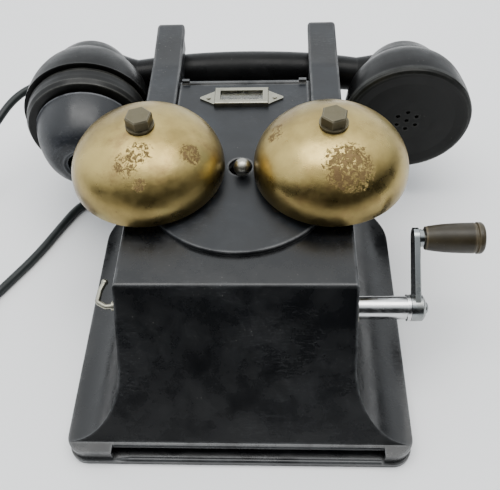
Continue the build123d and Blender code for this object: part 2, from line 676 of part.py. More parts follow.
with BuildPart() as ringer_coils:
    for x in (-COIL_X, COIL_X):
        rod((x, RINGER_Y, 10.0), UPRIGHT, 8.6, 24)
        for z in (9.2, 33.5):
            rod((x, RINGER_Y, z), UPRIGHT, 10.0, 1.2)
        rod((x, RINGER_Y, 9.0), UPRIGHT, 3.6, 27, mode=Mode.SUBTRACT)
save(ringer_coils, "ringer_coils")

with BuildPart() as ringer_pivot_pin:
    rod((0, RINGER_Y - 11, RINGER_PIVOT_Z), ALONG_Y, 1.5, 22)
save(ringer_pivot_pin, "ringer_pivot_pin")

with BuildPart() as ringer_armature:
    block((-19, RINGER_Y - 5, RINGER_PIVOT_Z - 3), (19, RINGER_Y + 5, RINGER_PIVOT_Z))
    rod((0, RINGER_Y - 5, RINGER_PIVOT_Z), ALONG_Y, 4.0, 10)
    pivot = (0, RINGER_Y - 6, RINGER_PIVOT_Z)
    rod(pivot, ALONG_Y, 1.5 + RUNNING, 12, mode=Mode.SUBTRACT)
save(ringer_armature, "ringer_armature")

with BuildPart() as clapper_rod:
    foot = Vector(0, CLAPPER_Y, RINGER_PIVOT_Z + 4.0)
    bend, tip = Vector(0.3, CLAPPER_Y, 69.6), Vector(*BALL_CENTRE)
    with BuildLine() as rod_line:
        FilletPolyline(foot, bend, tip, radius=2.5)
    with BuildSketch(Plane(foot, z_dir=bend - foot)):
        Circle(1.0)
    sweep(path=rod_line.line)
    with Locations(BALL_CENTRE):
        Sphere(BALL_RADIUS - 0.4, mode=Mode.SUBTRACT)
save(clapper_rod, "clapper_rod")

with BuildPart() as clapper_ball:
    with Locations(BALL_CENTRE):
        Sphere(BALL_RADIUS, rotation=ALONG_Y)
    add(clapper_rod.part, mode=Mode.SUBTRACT)
save(clapper_ball, "clapper_ball")


# ================= cradle =================

BAR_NEAR, BAR_FAR = 58.0, 62.5
GUIDE_NEAR, GUIDE_FAR = 64.5, 69.0
strap_low = DEPTH + 0.3
strap_top = strap_low + PRONG_THICK

with BuildPart() as cradle_yoke:
    with BuildSketch(side_plane(-PRONG_OUT)):
        with BuildLine():
            Polyline(
                (STRAP_NEAR, strap_low),
                (STRAP_NEAR, strap_top),
                (90, strap_top),
                (PRONG_END_Y, PRONG_END_Z),
                (PRONG_END_Y + 0.6, PRONG_END_Z - PRONG_THICK),
                (90.5, strap_low),
                close=True,
            )
        make_face()
    extrude(amount=2 * PRONG_OUT)
    fillet(cradle_yoke.edges().filter_by(Axis.X).sort_by_distance((0, 90, strap_top))[0], 12)
    # Each strap narrows a little towards its tip, which has a round outer corner.
    with BuildSketch(Plane.XY) as straps:
        for side in (-1, 1):
            with BuildLine():
                Polyline(
                    (side * PRONG_IN, STRAP_NEAR - 1),
                    (side * PRONG_OUT, STRAP_NEAR - 1),
                    (side * PRONG_OUT, 88),
                    (side * (PRONG_OUT - 1.0), PRONG_END_Y + 1),
                    (side * (PRONG_IN - 0.5), PRONG_END_Y + 1),
                    (side * PRONG_IN, 84),
                    close=True,
                )
            make_face()
        fillet(straps.vertices().group_by(Axis.Y)[-1], 2.5)
    extrude(amount=DEPTH + 30, mode=Mode.INTERSECT)
    fillet(cradle_yoke.edges().filter_by(Axis.Y).group_by(Axis.Z)[-1], 0.8)
    for side in (-1, 1):
        # The band that the handle lies in, running on into the rear prong.
        with BuildSketch(side_plane(side * PRONG_IN)) as band:
            with Locations((SADDLE_Y, HANDLE_Z)):
                Circle(SADDLE_RADIUS + SADDLE_THICK)
            with Locations((SADDLE_Y - 8, REAR_TOP_Z)):
                Rectangle(17, REAR_THICK, align=(Align.MIN, Align.MAX))
            with Locations((SADDLE_Y, HANDLE_Z)):
                Circle(SADDLE_RADIUS, mode=Mode.SUBTRACT)
                size = (30, 2 * SADDLE_RADIUS)
                Rectangle(*size, align=(Align.MIN, Align.CENTER), mode=Mode.SUBTRACT)
                Rectangle(30, 20, align=(Align.MIN, Align.MIN), mode=Mode.SUBTRACT)
            fillet(band.vertices().sort_by_distance((0, 114, REAR_TOP_Z))[0], 1.5)
        extrude(amount=side * BAND_WIDTH)
        # The cheek between the strap and the handle.
        with BuildSketch(side_plane(side * PRONG_IN)) as cheek:
            with BuildLine():
                Polyline((90.6, 66.8), (93.2, 54), (105, 58), (112, 64.1), (113, 72.6), close=True)
            make_face()
            with Locations((SADDLE_Y, HANDLE_Z)):
                Circle(SADDLE_RADIUS, mode=Mode.SUBTRACT)
                size = (30, 2 * SADDLE_RADIUS)
                Rectangle(*size, align=(Align.MIN, Align.CENTER), mode=Mode.SUBTRACT)
        extrude(amount=side * 3.0)
        arm_in, arm_out = sorted((side * ARM_IN, side * ARM_OUT))
        block((arm_in, BAR_NEAR, REAR_TOP_Z - REAR_THICK), (arm_out, SADDLE_Y, REAR_TOP_Z))
    low = (-ARM_OUT, BAR_NEAR, REAR_TOP_Z - REAR_THICK)
    block(low, (ARM_OUT, BAR_FAR, REAR_TOP_Z))
save(cradle_yoke, "cradle_yoke")

with BuildPart() as yoke_guides:
    slack = 0.3
    arm_low, arm_high = REAR_TOP_Z - REAR_THICK - slack, REAR_TOP_Z + slack
    for side in (-1, 1):
        post_in, post_out = sorted((side * 27.0, side * (ARM_IN - slack)))
        block((post_in, GUIDE_NEAR, PLATE_THICK), (post_out, GUIDE_FAR, arm_high + 3))
        pad_in, pad_out = sorted((side * 27.0, side * ARM_OUT))
        block((pad_in, GUIDE_NEAR, arm_low - 4), (pad_out, GUIDE_FAR, arm_low))
        block((pad_in, GUIDE_NEAR, arm_high), (pad_out, GUIDE_FAR, arm_high + 3))
save(yoke_guides, "yoke_guides")


# ================= hook switch, terminals and small parts inside =================

with BuildPart() as switch_stack:
    block((-9, 37, PLATE_THICK), (9, 45, 6))
    block((-9, 40, 6), (9, 43, 34))
    block((-8, 36, 34), (8, 45, 49))
save(switch_stack, "switch_stack")

with BuildPart() as switch_blades:
    for z in (36.5, 39.0, 41.5, 44.0, 46.5):
        block((-3, 45, z), (3, 54.5, z + 0.4))
        block((-3, 33.5, z), (3, 36, z + 0.4))
save(switch_blades, "switch_blades")

with BuildPart() as terminal_block:
    block((-25, 55, PLATE_THICK), (25, 69, 10))
    for x in range(-20, 21, 10):
        block((x - 4, 55, 10), (x - 3, 69, 13))
    block((24, 55, 10), (25, 69, 13))
save(terminal_block, "terminal_block")

with BuildPart() as terminal_screws:
    for x in range(-20, 21, 10):
        for y in (58.5, 65.5):
            rod((x + 1, y, 10), UPRIGHT, 2.5, 1.6)
            block((x - 2, y - 0.4, 11.0), (x + 4, y + 0.4, 12.0), Mode.SUBTRACT)
save(terminal_screws, "terminal_screws")

with BuildPart() as capacitor:
    rod((34, 10, 11), ALONG_Y, 7.0, 30)
    fillet(capacitor.edges().group_by(Axis.Y)[0], 1.0)
    fillet(capacitor.edges().group_by(Axis.Y)[-1], 1.0)
    for y in (7.5, 40.0):
        rod((34, y, 11), ALONG_Y, 1.0, 2.5)
save(capacitor, "capacitor")

with BuildPart() as capacitor_clip:
    rod((34, 20, 11), ALONG_Y, 8.0, 10)
    block((26, 20, PLATE_THICK), (42, 30, 8))
    rod((34, 19, 11), ALONG_Y, 7.0, 12, mode=Mode.SUBTRACT)
save(capacitor_clip, "capacitor_clip")

with BuildPart() as induction_coil:
    rod((-34, 12, 11), ALONG_Y, 6.5, 26)
    for y in (10, 36):
        block((-42, y, PLATE_THICK), (-26, y + 2.5, 19.5))
    rod((-34, 8, 11), ALONG_Y, 2.5, 33)
save(induction_coil, "induction_coil")


# ================= handset =================


def facing(tilt):
    """The direction a cup faces: towards -Y, turned a little about Z."""
    angle = math.radians(tilt)
    return Vector(math.sin(angle), -math.cos(angle), 0)


def cup_axis(centre, tilt):
    """The axis of a cup."""
    return Axis(centre, facing(tilt))


def cup_plane(centre, tilt):
    """A sketch plane through a cup's axis: x is the radius, y the distance along the axis."""
    axis = facing(tilt)
    return Plane(centre, x_dir=(0, 0, 1), z_dir=(-axis.Y, axis.X, 0))


def cup_profile(centre, tilt, points, curved=(), dome=()):
    """Half a cup's section: (radius, along) points, after a spline where curved gives one.

    A dome is one more spline, which starts on the cup's axis and ends where curved starts.
    """
    with BuildSketch(cup_plane(centre, tilt)) as profile:
        with BuildLine():
            if dome:
                Spline(*dome, tangents=((1, 0), (0.34, 1)))
                Spline(*curved, tangents=((0.55, 1), (0.05, 1)))
                Polyline(curved[-1], *points, dome[0])
            elif curved:
                Spline(*curved)
                Polyline(curved[-1], *points, curved[0])
            else:
                Polyline(*points, close=True)
        make_face()
    return profile.sketch


def cup_solid(centre, tilt, dome, shell):
    """A cup without its hollow: a domed back and a shell that widens to the rim."""
    profile = cup_profile(centre, tilt, [(0, shell[-1][1])], shell, dome)
    with BuildPart() as cup:
        revolve(profile, axis=cup_axis(centre, tilt))
    return cup.part


EAR_DOME = ((0, -16.5), (8, -15.3), (14, -12.0), (18.5, -6.5), (21.5, 0), (23.3, 4.5))
EAR_SHELL = ((23.3, 4.5), (25.6, 8), (28.3, 13), (30, 20), (31, 27), (EAR_RIM_RADIUS, EAR_SHELL_END))
MOUTH_DOME = ((0, -16.5), (8, -15.3), (14, -12.3), (18.5, -7), (21.5, -1), (23.3, 4))
MOUTH_SHELL = ((23.3, 4), (26.5, 9), (29.3, 15), (31.2, 22), (32, 28), (MOUTH_RIM_RADIUS, MOUTH_SHELL_END))
HANDLE_SECTIONS = (
    (-58, 103.2, 8.6),
    (-46, 104.8, 9.05),
    (-26, 106.5, 9.7),
    (0, HANDLE_MID_Y, 10.0),
    (26, 106.3, 9.7),
    (46, 104.6, 9.05),
    (58, 102.8, 8.5),
)

EAR_FLARE = ((58, 102.8, 8.5), (63, 101.4, 10.0), (70, 99.2, 12.6))
MOUTH_FLARE = ((-58, 103.2, 8.6), (-63, 102.6, 10.4), (-70, 102.0, 13.8))

with BuildPart() as handset_handle:
    for x, y, radius in HANDLE_SECTIONS:
        with BuildSketch(side_plane(x)):
            with Locations((y, HANDLE_Z)):
                Circle(radius)
    loft()
    for flare in (MOUTH_FLARE, EAR_FLARE):
        for x, y, radius in flare:
            with BuildSketch(side_plane(x)):
                with Locations((y, HANDLE_Z)):
                    Circle(radius)
        loft()
    add(cup_solid(EAR_CENTRE, EAR_TILT, EAR_DOME, EAR_SHELL))
    mouth_cup = cup_solid(MOUTH_CENTRE, MOUTH_TILT, MOUTH_DOME, MOUTH_SHELL)
    add(mouth_cup)
    hollow = [(0, 2), (16, 2), (19, 8), (22, 12.5), (26, 18), (28.6, 26), (28.6, 36), (0, 36)]
    cavity = cup_profile(EAR_CENTRE, EAR_TILT, hollow)
    revolve(cavity, axis=cup_axis(EAR_CENTRE, EAR_TILT), mode=Mode.SUBTRACT)
    hollow = [(0, 2), (16, 2), (19.5, 9), (23.5, 14.5), (27, 19), (27, 36), (0, 36)]
    cavity = cup_profile(MOUTH_CENTRE, MOUTH_TILT, hollow)
    revolve(cavity, axis=cup_axis(MOUTH_CENTRE, MOUTH_TILT), mode=Mode.SUBTRACT)
save(handset_handle, "handset_handle")

with BuildPart() as receiver_unit:
    solid = [(0, 3), (14.5, 3), (17.5, 9), (20.5, 13.5), (24.5, 19), (26, 24), (26, 31), (0, 31)]
    revolve(cup_profile(EAR_CENTRE, EAR_TILT, solid), axis=cup_axis(EAR_CENTRE, EAR_TILT))
save(receiver_unit, "receiver_unit")

with BuildPart() as receiver_diaphragm:
    disc = [(0, 31), (26, 31), (26, 31.4), (0, 31.4)]
    revolve(cup_profile(EAR_CENTRE, EAR_TILT, disc), axis=cup_axis(EAR_CENTRE, EAR_TILT))
save(receiver_diaphragm, "receiver_diaphragm")

with BuildPart() as ear_cap:
    outline = [
        (0, 31.8),
        (26.6, 31.8),
        (26.6, 28.5),
        (28.4, 28.5),
        (28.4, EAR_SHELL_END),
        (EAR_RIM_RADIUS, EAR_SHELL_END),
        (EAR_RIM_RADIUS, 32.6),
        (30.6, 33.7),
        (29.2, EAR_FACE),
        (27.6, EAR_FACE),
        (23.0, 33.8),
        (12.0, 33.3),
        (0, 33.2),
    ]
    revolve(cup_profile(EAR_CENTRE, EAR_TILT, outline), axis=cup_axis(EAR_CENTRE, EAR_TILT))
    face = Plane(Vector(*EAR_CENTRE) + facing(EAR_TILT) * 26, x_dir=(0, 0, 1), z_dir=facing(EAR_TILT))
    with BuildSketch(face):
        Circle(1.0)
        with PolarLocations(5.2, 6):
            Circle(1.0)
    extrude(amount=10, mode=Mode.SUBTRACT)
save(ear_cap, "ear_cap")

with BuildPart() as transmitter_unit:
    solid = [(0, 3), (14.5, 3), (18, 10), (22, 15.5), (25.5, 20), (25.5, 27), (0, 27)]
    revolve(cup_profile(MOUTH_CENTRE, MOUTH_TILT, solid), axis=cup_axis(MOUTH_CENTRE, MOUTH_TILT))
save(transmitter_unit, "transmitter_unit")

with BuildPart() as transmitter_ring:
    outline = [
        (22, MOUTH_SHELL_END),
        (29.4, MOUTH_SHELL_END),
        (29.4, 32.8),
        (30.2, 33.3),
        (30.2, 37),
        (29.9, 39.5),
        (28.7, MOUTH_RING_END),
        (22, MOUTH_RING_END),
    ]
    profile = cup_profile(MOUTH_CENTRE, MOUTH_TILT, outline)
    revolve(profile, axis=cup_axis(MOUTH_CENTRE, MOUTH_TILT))
save(transmitter_ring, "transmitter_ring")

with BuildPart() as mouthpiece:
    flank = ((25.0, 43.6), (23.4, 50.0), (20.3, 58.0), (15.5, 64.6), (9.6, MOUTH_END))
    outline = [
        (7.8, MOUTH_END - 0.6),
        (7.4, MOUTH_END - 2.6),
        (12.6, 61.2),
        (16.6, 55.5),
        (19.4, 48.0),
        (0, 47.0),
        (0, 44.6),
        (19.4, 44.6),
        (19.4, 38.0),
        (21.9, 38.0),
        (21.9, MOUTH_RING_END),
        (23.2, MOUTH_RING_END),
        (23.2, 43.4),
    ]
    profile = cup_profile(MOUTH_CENTRE, MOUTH_TILT, outline, flank)
    revolve(profile, axis=cup_axis(MOUTH_CENTRE, MOUTH_TILT))
    start = Vector(*MOUTH_CENTRE) + facing(MOUTH_TILT) * 43
    with BuildSketch(Plane(start, x_dir=(0, 0, 1), z_dir=facing(MOUTH_TILT))):
        Circle(1.3)
        for ring, count in ((5.0, 6), (10.0, 12)):
            with PolarLocations(ring, count):
                Circle(1.3)
    extrude(amount=6, mode=Mode.SUBTRACT)
save(mouthpiece, "mouthpiece")


# ================= handset cord =================

CORD_START = (-114.0, 113.0, 43.5)
COIL_IN_ANGLE, COIL_OUT_ANGLE = 165.0, -36.0
COIL_HEIGHT = 8.8


def on_coil(angle):
    """The point of the coil's outermost turn at an angle in degrees, on the floor layer."""
    turn = math.radians(angle)
    x, y = COIL_CENTRE
    return (
        x + COIL_TURN_RADIUS * math.cos(turn),
        y + COIL_TURN_RADIUS * math.sin(turn),
        CORD_RADIUS,
    )


UPPER_ROUTE = (
    CORD_START,
    (-124.0, 110.0, 41.5),
    (-132.5, 100.0, 40.0),
    (-139.0, 85.0, 36.0),
    (-150.0, 68.0, 28.0),
    (-162.0, 50.0, 16.0),
    (-172.6, 33.0, 6.0),
    (-181.2, 18.0, 2.3),
    (-186.2, 8.3, 2.2),
    on_coil(COIL_IN_ANGLE),
)
LOWER_ROUTE = (
    on_coil(COIL_OUT_ANGLE),
    (-131.5, -12.3, 2.2),
    (-117.6, 9.4, 2.2),
    (-109.5, 23.1, 2.2),
    (-102.1, 39.6, 2.2),
    (-94.2, 56.3, 2.2),
    (-80.0, 66.0, 2.3),
    (-65.0, 72.0, 6.5),
    (-52.0, 72.0, 12.0),
    (-30.0, 72.0, 12.0),
)


def cord(points):
    """A round cord of straight runs joined by tangent arcs."""
    stations = [Vector(*point) for point in points]
    radii = []
    for before, here, after in zip(stations, stations[1:], stations[2:]):
        turn = math.radians((here - before).get_angle(after - here))
        run = min((here - before).length, (after - here).length)
        radii.append(0.45 * run / math.tan(turn / 2))
    with BuildPart() as piece:
        with BuildLine() as route:
            FilletPolyline(*stations, radius=radii)
        with BuildSketch(Plane(stations[0], z_dir=stations[1] - stations[0])) as section:
            Circle(CORD_RADIUS)
        sweep(section.sketch, path=route.line)
    length = sum(edge.length for edge in route.line.edges())
    share = piece.part.volume / (math.pi * CORD_RADIUS**2 * length)
    print("cord radii", [round(radius, 1) for radius in radii])
    print("length", round(length, 1), "volume over section times length", round(share, 4))
    return piece


save(cord(UPPER_ROUTE), "handset_cord_upper")
save(cord(LOWER_ROUTE), "handset_cord_lower")

with BuildPart() as handset_cord_coil:
    outer = COIL_TURN_RADIUS + CORD_RADIUS
    with Locations((*COIL_CENTRE, 0)):
        Cylinder(outer, COIL_HEIGHT, align=FROM_BASE)
        inner = outer - COIL_TURNS_WIDE * 2 * CORD_RADIUS
        Cylinder(inner, COIL_HEIGHT, align=FROM_BASE, mode=Mode.SUBTRACT)
save(handset_cord_coil, "handset_cord_coil")

with BuildPart() as cord_relief:
    start, end = Vector(-93.5, 113.3, 47.7), Vector(*CORD_START)
    with Locations(Plane(start, z_dir=end - start)):
        Cone(4.4, 2.8, (end - start).length - 1.0, align=FROM_BASE)
    add(mouth_cup, mode=Mode.SUBTRACT)
save(cord_relief, "cord_relief")
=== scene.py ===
import math

import bpy
from mathutils import Matrix, Vector


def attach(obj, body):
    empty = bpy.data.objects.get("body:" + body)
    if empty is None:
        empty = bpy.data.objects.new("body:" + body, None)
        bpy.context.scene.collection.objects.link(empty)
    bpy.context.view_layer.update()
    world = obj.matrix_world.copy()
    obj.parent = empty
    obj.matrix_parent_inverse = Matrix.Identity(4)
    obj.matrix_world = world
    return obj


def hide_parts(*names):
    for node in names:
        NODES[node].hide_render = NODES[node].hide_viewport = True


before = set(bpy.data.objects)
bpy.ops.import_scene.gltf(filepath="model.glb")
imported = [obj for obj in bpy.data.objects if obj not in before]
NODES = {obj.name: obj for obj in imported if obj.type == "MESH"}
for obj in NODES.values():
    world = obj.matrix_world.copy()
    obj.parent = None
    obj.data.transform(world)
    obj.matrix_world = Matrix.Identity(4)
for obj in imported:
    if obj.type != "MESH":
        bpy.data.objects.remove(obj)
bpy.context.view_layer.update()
MM = 0.001

# ---------------- camera, floor and light ----------------

CAMERA_PLACE = (0.0173, -0.1880, 0.2765)  # metres
CAMERA_DOWN, CAMERA_YAW, CAMERA_ROLL = 51.75, 4.11, -3.34  # degrees
CAMERA_LENS, CAMERA_SENSOR = 47.73, 36.0  # mm
CAMERA_NEAR = 0.01

ROOM_TINT = (0.93, 0.97, 1.0, 1)
ROOM_BRIGHT, ROOM_DARK = 2.0, 0.03  # strength behind and above the phone, and low in front of it
ROOM_UP = (-0.2, 0.62, 0.76)  # the direction of the bright side
ROOM_FADE = (0.05, 0.6)  # how far towards it the light starts and stops growing

# name, place, target, size in x, size in y, watts, colour
LIGHTS = (
    ("ceiling", (0.0, 0.12, 1.2), (0, 0, 0), 1.2, 0.6, 12.0, (1.0, 0.985, 0.95)),
    ("glint", (-0.5, -0.75, 0.12), (0, 0, 0.07), 0.08, 0.08, 0.12, (1.0, 0.96, 0.88)),
)
FLOOR_SIDE = 3.0  # half of the floor's width, metres


def add_camera():
    data = bpy.data.cameras.new("camera")
    data.lens = CAMERA_LENS
    data.sensor_width = CAMERA_SENSOR
    data.sensor_fit = "HORIZONTAL"
    data.clip_start = CAMERA_NEAR
    camera = bpy.data.objects.new("camera", data)
    bpy.context.collection.objects.link(camera)
    yaw = Matrix.Rotation(math.radians(CAMERA_YAW), 4, "Z")
    tilt = Matrix.Rotation(math.radians(90 - CAMERA_DOWN), 4, "X")
    roll = Matrix.Rotation(math.radians(CAMERA_ROLL), 4, "Z")
    camera.matrix_world = Matrix.Translation(CAMERA_PLACE) @ yaw @ tilt @ roll
    bpy.context.scene.camera = camera


def add_area(name, place, target, size_x, size_y, power, colour):
    """A rectangular area light that looks at target."""
    data = bpy.data.lights.new(name, "AREA")
    data.shape = "RECTANGLE"
    data.size = size_x
    data.size_y = size_y
    data.energy = power
    data.color = colour
    light = bpy.data.objects.new(name, data)
    bpy.context.collection.objects.link(light)
    light.location = place
    direction = Vector(target) - Vector(place)
    light.rotation_euler = direction.to_track_quat("-Z", "Y").to_euler()


def add_world():
    """A soft room: bright above and behind the phone, dark low down in front of it."""
    world = bpy.data.worlds.new("world")
    bpy.context.scene.world = world
    world.use_nodes = True
    tree = world.node_tree
    place = tree.nodes.new("ShaderNodeTexCoord").outputs["Generated"]
    facing = tree.nodes.new("ShaderNodeVectorMath")
    facing.operation = "DOT_PRODUCT"
    facing.inputs[1].default_value = ROOM_UP
    tree.links.new(place, facing.inputs[0])
    level = tree.nodes.new("ShaderNodeMapRange")
    level.interpolation_type = "SMOOTHSTEP"
    tree.links.new(facing.outputs["Value"], level.inputs["Value"])
    keys = ("From Min", "From Max", "To Min", "To Max")
    for key, number in zip(keys, (*ROOM_FADE, ROOM_DARK, ROOM_BRIGHT)):
        level.inputs[key].default_value = number
    background = tree.nodes["Background"]
    background.inputs["Color"].default_value = ROOM_TINT
    tree.links.new(level.outputs[0], background.inputs["Strength"])


add_camera()
add_world()
for row in LIGHTS:
    add_area(*row)

# ---------------- node materials ----------------
# Noise scales are per metre, colours are linear, and bump depths and edge widths are in metres.

BEVEL_SAMPLES = 6
PAINT_EDGE, METAL_EDGE = 0.0016, 0.0005
PAINT_WAVE, PAINT_GRAIN, METAL_GRAIN = 0.0009, 0.00012, 0.00004
GONG_RINGS, GONG_DENTS, CRUST_HEIGHT = 0.00003, 0.0006, 0.00015
SCRATCHES = ((0.5, 9.0), (-0.7, 12.0), (1.4, 10.0))  # turn in radians, stretch across
SCRATCH_WIDTH = 0.012
DUST, DUST_SHARE = (0.25, 0.24, 0.22), 0.55
METAL_STAIN = (0.1, 0.09, 0.07)

BRASS_DARK, BRASS_LIGHT = (0.24, 0.175, 0.06), (0.45, 0.34, 0.125)
# Painted shade: a darker brass colour low on the gong near the rim, and the heights over which it fades
# out.
BRASS_RIM_SHADE, BRASS_RIM_SHADE_HEIGHTS = (0.13, 0.10, 0.045), (0.0735, 0.087)  # colour near the rim
BRASS_BROWN, BRASS_GREEN = (0.2, 0.125, 0.055), (0.3, 0.29, 0.12)
CRUST, SPOTS = (0.15, 0.095, 0.05), (0.17, 0.11, 0.055)

# Each crust on a gong: its place and radius in mm, and its strength.
LEFT_CRUSTS = (
    ((-18.3, 5.1, 90.0), 5.5, 1.0),
    ((-38.2, 1.5, 94.8), 6.0, 0.7),
    ((-43.0, -3.2, 92.6), 6.0, 0.75),
    ((-37.7, -10.0, 88.4), 3.4, 0.9),
)
RIGHT_CRUSTS = (
    ((44.5, -4.0, 91.5), 11.0, 1.0),
    ((15.6, 16.5, 89.7), 4.5, 0.8),
    ((17.0, 20.0, 89.0), 3.5, 0.8),
)


class Look:
    """A node material: small helpers that each return an output socket."""

    def __init__(self, name, colour=(0.5, 0.5, 0.5), rough=0.5, metal=0.0):
        self.mat = bpy.data.materials.new(name)
        self.mat.use_nodes = True
        self.tree = self.mat.node_tree
        self.bsdf = self.tree.nodes["Principled BSDF"]
        self.set("Base Color", (*colour, 1))
        self.set("Roughness", rough)
        self.set("Metallic", metal)
        self.place = self.tree.nodes.new("ShaderNodeTexCoord").outputs["Object"]

    def set(self, socket, value):
        self.bsdf.inputs[socket].default_value = value

    def link(self, socket, output):
        self.tree.links.new(output, self.bsdf.inputs[socket])

    def node(self, kind, **inputs):
        node = self.tree.nodes.new(kind)
        for key, value in inputs.items():
            self.feed(node.inputs[key.replace("_", " ")], value)
        return node

    def feed(self, socket, value):
        if isinstance(value, bpy.types.NodeSocket):
            self.tree.links.new(value, socket)
        else:
            socket.default_value = value

    def moved(self, scale=(1, 1, 1), turn=(0, 0, 0), shift=(0, 0, 0)):
        node = self.node("ShaderNodeMapping", Vector=self.place)
        node.inputs["Scale"].default_value = scale
        node.inputs["Rotation"].default_value = turn
        node.inputs["Location"].default_value = shift
        return node.outputs[0]

    def noise(self, scale, detail=4.0, rough=0.55, place=None, warp=0.0):
        node = self.node("ShaderNodeTexNoise", Scale=scale, Detail=detail, Roughness=rough)
        node.inputs["Distortion"].default_value = warp
        self.feed(node.inputs["Vector"], place or self.place)
        return node.outputs["Fac"]

    def cells(self, scale, place=None):
        """The distance from scattered cell centres, for round specks."""
        node = self.tree.nodes.new("ShaderNodeTexVoronoi")
        node.inputs["Scale"].default_value = scale
        self.feed(node.inputs["Vector"], place or self.place)
        return node.outputs["Distance"]

    def ramp(self, value, low, high, out_low=0.0, out_high=1.0):
        """Smoothly from out_low, where value is at most low, to out_high, where it is at least high."""
        node = self.tree.nodes.new("ShaderNodeMapRange")
        node.interpolation_type = "SMOOTHSTEP"
        self.feed(node.inputs["Value"], value)
        keys = ("From Min", "From Max", "To Min", "To Max")
        for key, number in zip(keys, (low, high, out_low, out_high)):
            node.inputs[key].default_value = number
        return node.outputs[0]

    def distance(self, a, b):
        node = self.tree.nodes.new("ShaderNodeVectorMath")
        node.operation = "DISTANCE"
        self.feed(node.inputs[0], a)
        self.feed(node.inputs[1], b)
        return node.outputs["Value"]

    def math(self, operation, a, b=0.0):
        node = self.tree.nodes.new("ShaderNodeMath")
        node.operation = operation
        self.feed(node.inputs[0], a)
        self.feed(node.inputs[1], b)
        return node.outputs[0]

    def mix(self, a, b, share):
        node = self.tree.nodes.new("ShaderNodeMix")
        node.data_type = "RGBA"
        self.feed(node.inputs["Factor"], share)
        for socket, value in ((node.inputs["A"], a), (node.inputs["B"], b)):
            if not isinstance(value, bpy.types.NodeSocket) and len(value) == 3:
                value = (*value, 1)
            self.feed(socket, value)
        return node.outputs["Result"]

    def edges(self, radius):
        """Near 1 along sharp edges, 0 on open faces."""
        bevel = self.tree.nodes.new("ShaderNodeBevel")
        bevel.samples = BEVEL_SAMPLES
        bevel.inputs["Radius"].default_value = radius
        geometry = self.tree.nodes.new("ShaderNodeNewGeometry")
        turned = self.distance(bevel.outputs[0], geometry.outputs["Normal"])
        return self.ramp(turned, 0.02, 0.25)

    def wear(self, scale, low, high, detail=8.0):
        """Ragged patches: 0 outside them, 1 inside."""
        return self.ramp(self.noise(scale, detail, 0.65), low, high)

    def bump(self, height, depth, strength=1.0, normal=None):
        node = self.tree.nodes.new("ShaderNodeBump")
        node.inputs["Strength"].default_value = strength
        node.inputs["Distance"].default_value = depth
        self.feed(node.inputs["Height"], height)
        if normal is not None:
            self.feed(node.inputs["Normal"], normal)
        return node.outputs[0]


def enamel(
    name, colour, dull, rough, edge=(0.3, 0.31, 0.32), edge_share=0.6, scratch=0.35, shine=0.3
):
    """Old black paint: dull patches, fine scratches, dust specks and rubbed edges."""
    look = Look(name, colour, rough)
    look.set("Specular IOR Level", shine)
    base = look.mix(colour, dull, look.wear(28.0, 0.42, 0.68))
    scratched = None
    for turn, stretch in SCRATCHES:
        along = look.moved((1.0, stretch, 1.0), (0, 0, turn))
        lines = look.noise(130.0, 3.0, 0.5, along)
        near = look.math("ABSOLUTE", look.math("SUBTRACT", lines, 0.5))
        line = look.ramp(near, 0.0, SCRATCH_WIDTH, 1.0, 0.0)
        line = look.math("MULTIPLY", line, look.wear(17.0 + 9 * abs(turn), 0.5, 0.62))
        scratched = line if scratched is None else look.math("MAXIMUM", scratched, line)
    scratched = look.math("MULTIPLY", scratched, scratch)
    base = look.mix(base, edge, scratched)
    rubbed = look.math("MULTIPLY", look.edges(PAINT_EDGE), look.wear(70.0, 0.34, 0.6))
    base = look.mix(base, edge, look.math("MULTIPLY", rubbed, edge_share))
    specks = look.ramp(look.cells(520.0), 0.06, 0.11, 1.0, 0.0)
    specks = look.math("MULTIPLY", specks, look.wear(60.0, 0.52, 0.66))
    base = look.mix(base, DUST, look.math("MULTIPLY", specks, DUST_SHARE))
    look.link("Base Color", base)
    varied = look.ramp(look.noise(60.0, 8.0, 0.65), 0.3, 0.7, rough - 0.07, rough + 0.13)
    varied = look.math("ADD", varied, look.math("MULTIPLY", scratched, 0.3))
    look.link("Roughness", varied)
    fine = look.math("MULTIPLY", look.noise(420.0, 6.0, 0.6), 0.25)
    height = look.math("SUBTRACT", fine, look.math("MULTIPLY", scratched, 0.8))
    normal = look.bump(look.noise(22.0, 2.0, 0.4), PAINT_WAVE, 0.35)
    look.link("Normal", look.bump(height, PAINT_GRAIN, 0.6, normal))
    return look


def metal(name, colour, rough, stain_share=0.3, brush=(1, 1, 1)):
    """Plain old metal: brushed grain, faint stains and brighter worn edges."""
    look = Look(name, colour, rough, 1.0)
    grain = look.noise(300.0, 5.0, 0.6, look.moved(brush))
    stains = look.math("MULTIPLY", look.wear(90.0, 0.5, 0.72), stain_share)
    base = look.mix(colour, METAL_STAIN, stains)
    light = tuple(min(1.0, c * 1.35 + 0.05) for c in colour)
    base = look.mix(base, light, look.math("MULTIPLY", look.edges(METAL_EDGE), 0.6))
    look.link("Base Color", base)
    varied = look.ramp(grain, 0.3, 0.7, rough * 0.75, rough * 1.35)
    look.link("Roughness", look.math("ADD", varied, look.math("MULTIPLY", stains, 0.35)))
    look.link("Normal", look.bump(grain, METAL_GRAIN, 0.5))
    return look


